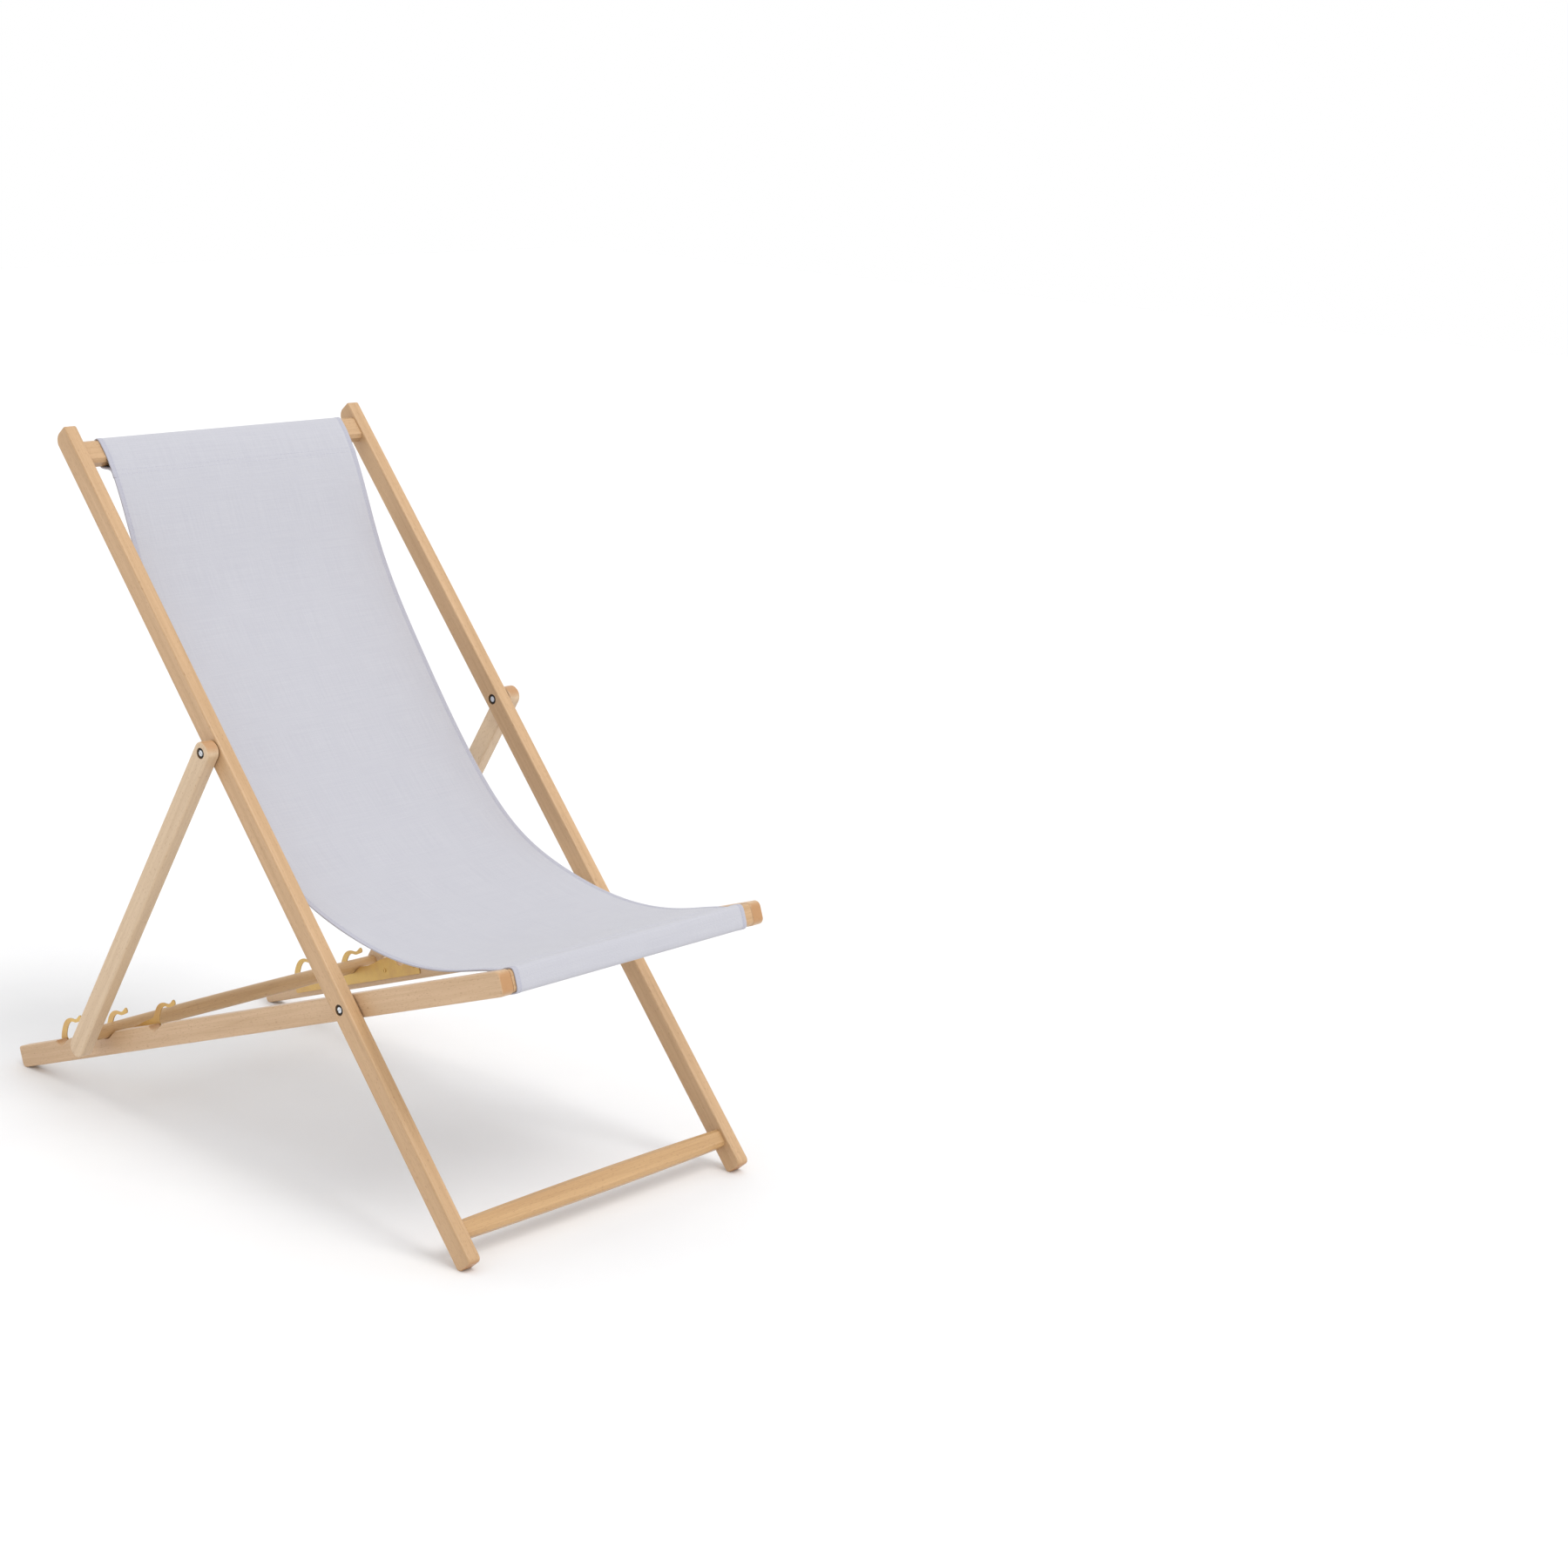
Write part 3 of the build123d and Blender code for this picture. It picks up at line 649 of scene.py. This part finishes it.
def yellow_passivated_steel(colours):
    """Stamped steel, zinc plated and yellow passivated.

    The plating is a soft satin gold with rosier clouds a few centimetres wide, and the rolling
    marks of the strip run along the plate. Stamped edges are a little darker.
    """
    material, tree = empty_material("yellow_passivated_zinc_on_stamped_steel")
    place = add(tree, "ShaderNodeTexCoord")
    clouds = add(
        tree, "ShaderNodeTexNoise", {"Scale": 1 / 0.028, "Detail": 3.0, "Roughness": 0.6},
        {"Vector": place.outputs["Object"]},
    )
    cloud_share = add(
        tree, "ShaderNodeMapRange", {"From Min": 0.38, "From Max": 0.66},
        {"Value": clouds.outputs["Fac"]},
    )
    tint = add(
        tree, "ShaderNodeMix", {6: colours.yellow_zinc, 7: colours.yellow_zinc_rosy},
        {0: cloud_share.outputs[0]}, data_type="RGBA",
    )
    level = add(
        tree, "ShaderNodeMapping",
        {"Rotation": (-math.atan2(SEAT_REARWARD[1], SEAT_REARWARD[0]), 0, 0)},
        {"Vector": place.outputs["Object"]},
    )
    # Rolling marks are drawn 0.8 mm apart, coarser than real, so that they show.
    strip = add(
        tree, "ShaderNodeMapping", {"Scale": (1 / 0.0008, 1 / 0.05, 1 / 0.0008)},
        {"Vector": level.outputs[0]},
    )
    marks = add(
        tree, "ShaderNodeTexNoise", {"Scale": 1.0, "Detail": 2.0}, {"Vector": strip.outputs[0]}
    )
    edge = add(
        tree, "ShaderNodeVectorMath", {1: (1, 0, 0)}, {0: place.outputs["Normal"]},
        operation="DOT_PRODUCT",
    )
    edge_size = add(tree, "ShaderNodeMath", links={0: edge.outputs["Value"]}, operation="ABSOLUTE")
    on_edge = add(
        tree, "ShaderNodeMapRange",
        {"From Min": 0.3, "From Max": 0.8, "To Min": 0.35, "To Max": 0.0},
        {"Value": edge_size.outputs[0]},
    )
    darkened = add(
        tree, "ShaderNodeMix", {7: colours.yellow_zinc_edge},
        {0: on_edge.outputs[0], 6: tint.outputs[2]}, data_type="RGBA",
    )
    roughness = add(
        tree, "ShaderNodeMapRange", {"To Min": 0.3, "To Max": 0.5}, {"Value": marks.outputs["Fac"]}
    )
    bump = add(
        tree, "ShaderNodeBump", {"Strength": 0.25, "Distance": 0.04 * MM},
        {"Height": marks.outputs["Fac"]},
    )
    shader = add(
        tree, "ShaderNodeBsdfPrincipled", {"Metallic": 0.85},
        {
            "Base Color": darkened.outputs[2], "Roughness": roughness.outputs[0],
            "Normal": bump.outputs[0],
        },
    )
    add(tree, "ShaderNodeOutputMaterial", links={"Surface": shader.outputs[0]})
    return material


def bright_zinc_steel(colours):
    """Turned and cold-headed steel with bright zinc plating.

    It is a light bluish silver, with fine duller spots where the plating has been handled.
    """
    material, tree = empty_material("bright_zinc_plated_steel")
    place = add(tree, "ShaderNodeTexCoord")
    spots = add(
        tree, "ShaderNodeTexNoise", {"Scale": 1 / 0.003, "Detail": 4.0, "Roughness": 0.65},
        {"Vector": place.outputs["Object"]},
    )
    dull = add(
        tree, "ShaderNodeMapRange", {"From Min": 0.45, "From Max": 0.75},
        {"Value": spots.outputs["Fac"]},
    )
    plated = add(
        tree, "ShaderNodeMix", {6: colours.bright_zinc, 7: colours.bright_zinc_dull},
        {0: dull.outputs[0]}, data_type="RGBA",
    )
    # Each bolt keeps its bright plated middle. From 3.6 mm out, painted shade darkens the rim,
    # for the shadow of its recess.
    rim = add(
        tree, "ShaderNodeMapRange",
        {"From Min": 3.6 * MM, "From Max": 4.2 * MM, "To Min": 0.0, "To Max": 0.93},
        {"Value": from_pivots(tree, place)},
    )
    colour = add(
        tree, "ShaderNodeMix", {7: colours.bolt_rim_shade}, {0: rim.outputs[0], 6: plated.outputs[2]},
        data_type="RGBA",
    )
    roughness = add(
        tree, "ShaderNodeMapRange", {"To Min": 0.22, "To Max": 0.42},
        {"Value": spots.outputs["Fac"]},
    )
    bump = add(
        tree, "ShaderNodeBump", {"Strength": 0.2, "Distance": 0.03 * MM},
        {"Height": spots.outputs["Fac"]},
    )
    shader = add(
        tree, "ShaderNodeBsdfPrincipled", {"Metallic": 1.0},
        {
            "Base Color": colour.outputs[2], "Roughness": roughness.outputs[0],
            "Normal": bump.outputs[0],
        },
    )
    add(tree, "ShaderNodeOutputMaterial", links={"Surface": shader.outputs[0]})
    return material


def woven_canvas(colours, sizes):
    """Plain-woven cotton canvas in a pale lavender grey.

    Warp and weft cross one over one, so the surface is a fine chequer of rounded threads with
    small dark gaps, softened by fuzz. Threads vary in thickness, which gives faint streaks both
    ways. Real threads are about 0.6 mm apart; they are drawn 1.5 mm apart so that they show.
    """
    thread_pitch = 1.5 * MM
    material, tree = empty_material("plain_woven_cotton_canvas")
    cloth = add(tree, "ShaderNodeUVMap", uv_map="cloth_metres")
    axes = add(tree, "ShaderNodeSeparateXYZ", links={0: cloth.outputs[0]})
    waves = []
    for side in (0, 1):
        turn = add(
            tree, "ShaderNodeMath", {1: math.pi / thread_pitch}, {0: axes.outputs[side]},
            operation="MULTIPLY",
        )
        waves.append(add(tree, "ShaderNodeMath", links={0: turn.outputs[0]}, operation="SINE"))
    chequer = add(
        tree, "ShaderNodeMath", links={0: waves[0].outputs[0], 1: waves[1].outputs[0]},
        operation="MULTIPLY",
    )
    crown = add(tree, "ShaderNodeMath", links={0: chequer.outputs[0]}, operation="ABSOLUTE")
    round_thread = add(
        tree, "ShaderNodeMath", {1: 0.5}, {0: crown.outputs[0]}, operation="POWER"
    )
    # Streaks 1.6 mm wide and 90 mm long, along the warp and then along the weft.
    streaks = []
    for scale in ((1 / 0.0016, 1 / 0.09, 1.0), (1 / 0.09, 1 / 0.0016, 1.0)):
        stretched = add(
            tree, "ShaderNodeMapping", {"Scale": scale}, {"Vector": cloth.outputs[0]}
        )
        streaks.append(
            add(
                tree, "ShaderNodeTexNoise", {"Scale": 1.0, "Detail": 2.0},
                {"Vector": stretched.outputs[0]},
            )
        )
    slub = add(
        tree, "ShaderNodeMath", links={0: streaks[0].outputs["Fac"], 1: streaks[1].outputs["Fac"]},
        operation="ADD",
    )
    soft = add(
        tree, "ShaderNodeTexNoise", {"Scale": 1 / 0.05, "Detail": 2.0},
        {"Vector": cloth.outputs[0]},
    )
    tone = add(
        tree, "ShaderNodeMath", {1: 0.25}, {0: soft.outputs["Fac"], 2: slub.outputs[0]},
        operation="MULTIPLY_ADD",
    )
    tone_share = add(
        tree, "ShaderNodeMapRange",
        {"From Min": 0.8, "From Max": 1.45, "To Min": 0.0, "To Max": 0.32},
        {"Value": tone.outputs[0]},
    )
    gap_share = add(
        tree, "ShaderNodeMapRange",
        {"From Min": 0.1, "From Max": 0.6, "To Min": 0.5, "To Max": 0.0},
        {"Value": round_thread.outputs[0]},
    )
    shaded = add(
        tree, "ShaderNodeMath", links={0: tone_share.outputs[0], 1: gap_share.outputs[0]},
        operation="ADD", use_clamp=True,
    )
    from_middle = add(
        tree, "ShaderNodeMath", links={0: axes.outputs[0]}, operation="ABSOLUTE"
    )
    hem_edge = sizes.width / 2 - sizes.hem
    in_hem = add(
        tree, "ShaderNodeMapRange",
        {"From Min": hem_edge - 0.3 * MM, "From Max": hem_edge + 0.3 * MM},
        {"Value": from_middle.outputs[0]},
    )
    thick = add(
        tree, "ShaderNodeMix", {6: colours.canvas, 7: colours.canvas_hem},
        {0: in_hem.outputs[0]}, data_type="RGBA",
    )
    colour = add(
        tree, "ShaderNodeMix", {7: colours.canvas_gap},
        {0: shaded.outputs[0], 6: thick.outputs[2]}, data_type="RGBA",
    )
    height = add(
        tree, "ShaderNodeMath", {1: 0.5}, {0: slub.outputs[0], 2: round_thread.outputs[0]},
        operation="MULTIPLY_ADD",
    )
    bump = add(
        tree, "ShaderNodeBump", {"Strength": 0.55, "Distance": 0.25 * MM},
        {"Height": height.outputs[0]},
    )
    roughness = add(
        tree, "ShaderNodeMapRange", {"To Min": 0.8, "To Max": 0.95},
        {"Value": soft.outputs["Fac"]},
    )
    shader = add(
        tree, "ShaderNodeBsdfPrincipled",
        {"IOR": 1.45, "Specular IOR Level": 0.3, "Sheen Weight": 0.25, "Sheen Roughness": 0.5},
        {
            "Base Color": colour.outputs[2], "Roughness": roughness.outputs[0],
            "Normal": bump.outputs[0],
        },
    )
    add(tree, "ShaderNodeOutputMaterial", links={"Surface": shader.outputs[0]})
    return material


def twisted_thread(colours):
    """Twisted polyester sewing thread, close to the canvas in colour, with a slight lustre.

    The twist catches the light in soft bands, so one stitch is a little darker than the next.
    """
    material, tree = empty_material("twisted_polyester_thread")
    place = add(tree, "ShaderNodeTexCoord")
    twist = add(
        tree, "ShaderNodeTexWave", {"Scale": 100.0, "Distortion": 1.0},
        {"Vector": place.outputs["Object"]}, bands_direction="DIAGONAL",
    )
    share = add(
        tree, "ShaderNodeMapRange", {"To Min": 0.0, "To Max": 0.6}, {"Value": twist.outputs["Fac"]}
    )
    colour = add(
        tree, "ShaderNodeMix", {6: colours.sewing_thread, 7: colours.canvas_gap},
        {0: share.outputs[0]}, data_type="RGBA",
    )
    bump = add(
        tree, "ShaderNodeBump", {"Strength": 0.4, "Distance": 0.1 * MM},
        {"Height": twist.outputs["Fac"]},
    )
    shader = add(
        tree, "ShaderNodeBsdfPrincipled", {"Roughness": 0.5, "Sheen Weight": 0.2},
        {"Base Color": colour.outputs[2], "Normal": bump.outputs[0]},
    )
    add(tree, "ShaderNodeOutputMaterial", links={"Surface": shader.outputs[0]})
    return material


def painted_floor(colours):
    """A matt painted studio floor, almost white, with faint patches a hand's span wide."""
    material, tree = empty_material("matt_painted_floor")
    place = add(tree, "ShaderNodeTexCoord")
    patches = add(
        tree, "ShaderNodeTexNoise", {"Scale": 1 / 0.18, "Detail": 4.0},
        {"Vector": place.outputs["Object"]},
    )
    colour = add(
        tree, "ShaderNodeMix", {6: colours.floor, 7: colours.floor_dust},
        {0: patches.outputs["Fac"]}, data_type="RGBA",
    )
    roughness = add(
        tree, "ShaderNodeMapRange", {"To Min": 0.6, "To Max": 0.8},
        {"Value": patches.outputs["Fac"]},
    )
    shader = add(
        tree, "ShaderNodeBsdfPrincipled", {"Specular IOR Level": 0.2},
        {"Base Color": colour.outputs[2], "Roughness": roughness.outputs[0]},
    )
    add(tree, "ShaderNodeOutputMaterial", links={"Surface": shader.outputs[0]})
    return material


def give_finish(nodes, material):
    """Give some frame pieces one material, in place of what they had."""
    for node in nodes:
        mesh = frame["nodes"][node].data
        mesh.materials.clear()
        mesh.materials.append(material)


# ---- stage ----------------------------------------------------------------------------------
def looking(place, ahead, roll):
    """The matrix of a lamp or camera at a place that looks ahead, turned by roll about that line."""
    ahead = np.array(ahead) / np.linalg.norm(ahead)
    right = np.array((ahead[1], -ahead[0], 0.0))
    right /= np.linalg.norm(right)
    up = np.cross(right, ahead)
    rolled_right = math.cos(roll) * right + math.sin(roll) * up
    rolled_up = math.cos(roll) * up - math.sin(roll) * right
    matrix = np.eye(4)
    matrix[:3, 0], matrix[:3, 1], matrix[:3, 2] = rolled_right, rolled_up, -ahead
    matrix[:3, 3] = place
    return Matrix(matrix.tolist())


def lay_floor(colours):
    """One large square of floor under the chair."""
    corners = FLOOR_HALF * np.array([(-1, -1, 0), (1, -1, 0), (1, 1, 0), (-1, 1, 0)], float)
    return add_piece("studio_floor", corners, np.array([[0, 1, 2, 3]]), painted_floor(colours))


def light_stage(scene):
    """White surroundings, and a broad light from the front and above, even over the whole floor."""
    world = bpy.data.worlds.new("pale_studio")
    world.use_nodes = True
    background = world.node_tree.nodes["Background"]
    background.inputs["Color"].default_value = (1.0, 1.0, 1.0, 1.0)
    background.inputs["Strength"].default_value = 1.0
    scene.world = world

    light = bpy.data.lights.new("broad_light", "SUN")
    light.energy = 1.1
    light.angle = math.radians(28)
    lamp = bpy.data.objects.new("broad_light", light)
    lamp.matrix_world = looking((0.0, 0.0, 4.0), (-0.3, 2.0, -3.0), 0.0)
    scene.collection.objects.link(lamp)


def place_camera(scene, view):
    """The camera, where the panel's view says."""
    lens = bpy.data.cameras.new("camera")
    lens.lens = view.lens
    lens.sensor_width = 36.0
    lens.clip_end = 60.0
    camera = bpy.data.objects.new("camera", lens)
    ahead = (
        math.sin(view.azimuth) * math.cos(view.fall),
        math.cos(view.azimuth) * math.cos(view.fall),
        -math.sin(view.fall),
    )
    camera.matrix_world = looking(view.place, ahead, view.roll)
    scene.collection.objects.link(camera)
    scene.camera = camera


# ---- operators ------------------------------------------------------------------------------
class DECKCHAIR_OT_finish_wood(bpy.types.Operator):
    """Give every rail, strut and bar its beech, with the grain along it"""

    bl_idname = "deckchair.finish_wood"
    bl_label = "Finish the wood"

    def execute(self, context):
        colours = context.scene.deckchair_colours
        wooden = [node for node in sorted(frame["nodes"]) if node.startswith(tuple(WOODEN))]
        if not wooden:
            raise RuntimeError("the frame has no wooden pieces")
        for seed, node in enumerate(wooden, start=1):
            beech, grain = next(WOODEN[kind] for kind in WOODEN if node.startswith(kind))
            light, dark = (getattr(colours, f"{beech}_{tone}") for tone in ("light", "dark"))
            name = f"lacquered_beech_{node}"
            give_finish([node], lacquered_beech(name, light, dark, colours, grain, seed))
        return {"FINISHED"}


class DECKCHAIR_OT_finish_plates(bpy.types.Operator):
    """Give the ratchet plates and their screws yellow passivated zinc"""

    bl_idname = "deckchair.finish_plates"
    bl_label = "Finish the ratchet plates"

    def execute(self, context):
        plates = [node for node in sorted(frame["nodes"]) if node.startswith("ratchet_")]
        if not plates:
            raise RuntimeError("the frame has no ratchet plates")
        give_finish(plates, yellow_passivated_steel(context.scene.deckchair_colours))
        return {"FINISHED"}


class DECKCHAIR_OT_finish_bolts(bpy.types.Operator):
    """Give the pivot bolts, nuts and washers bright zinc"""

    bl_idname = "deckchair.finish_bolts"
    bl_label = "Finish the bolts"

    def execute(self, context):
        fixings = [node for node in sorted(frame["nodes"]) if "_pivot_" in node]
        if not fixings:
            raise RuntimeError("the frame has no pivot bolts")
        give_finish(fixings, bright_zinc_steel(context.scene.deckchair_colours))
        return {"FINISHED"}


class DECKCHAIR_OT_make_sling(bpy.types.Operator):
    """Hang the cloth between the top rail and the front rail, with its hems, sleeves and sewing"""

    bl_idname = "deckchair.make_sling"
    bl_label = "Make the sling"

    def execute(self, context):
        sizes = context.scene.deckchair_sizes
        colours = context.scene.deckchair_colours
        path = ClothPath(sizes)
        cloth = add_cloth(path, sizes, woven_canvas(colours, sizes))
        thread = twisted_thread(colours)
        sewing = [
            add_stitches("hem_stitches", path, sizes, hem_rows(path, sizes), thread),
            add_stitches("sleeve_stitches", path, sizes, sleeve_rows(path, sizes), thread),
        ]
        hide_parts("sling")
        for piece in (cloth, *sewing):
            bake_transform(piece)
        return {"FINISHED"}


class DECKCHAIR_OT_make_stage(bpy.types.Operator):
    """Lay the floor, light it and set up the camera"""

    bl_idname = "deckchair.make_stage"
    bl_label = "Make the stage"

    def execute(self, context):
        scene = context.scene
        lay_floor(scene.deckchair_colours)
        light_stage(scene)
        place_camera(scene, scene.deckchair_view)
        scene.view_settings.view_transform = "Standard"
        return {"FINISHED"}


class DECKCHAIR_PT_panel(bpy.types.Panel):
    """The deck chair's steps, sizes and colours"""

    bl_idname = "DECKCHAIR_PT_panel"
    bl_label = "Deck chair"
    bl_space_type = "VIEW_3D"
    bl_region_type = "UI"
    bl_category = "Deck chair"

    def draw(self, context):
        layout = self.layout
        for step in STEPS:
            layout.operator(step.bl_idname)
        for name in GROUPS:
            group = getattr(context.scene, name)
            box = layout.box()
            for field in type(group).__annotations__:
                box.prop(group, field)


GROUPS = {
    "deckchair_sizes": DeckChairSizes,
    "deckchair_colours": DeckChairColours,
    "deckchair_view": DeckChairView,
}
STEPS = (
    DECKCHAIR_OT_finish_wood,
    DECKCHAIR_OT_finish_plates,
    DECKCHAIR_OT_finish_bolts,
    DECKCHAIR_OT_make_sling,
    DECKCHAIR_OT_make_stage,
)


def register():
    for each in (*GROUPS.values(), *STEPS, DECKCHAIR_PT_panel):
        bpy.utils.register_class(each)
    for name, group in GROUPS.items():
        setattr(bpy.types.Scene, name, bpy.props.PointerProperty(type=group))


def unregister():
    for name in GROUPS:
        delattr(bpy.types.Scene, name)
    for each in reversed((*GROUPS.values(), *STEPS, DECKCHAIR_PT_panel)):
        bpy.utils.unregister_class(each)


def main():
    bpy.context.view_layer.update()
    register()
    for step in STEPS:
        group, name = step.bl_idname.split(".")
        getattr(getattr(bpy.ops, group), name)()
    bpy.context.view_layer.update()
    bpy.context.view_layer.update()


if __name__ == "__main__":
    main()
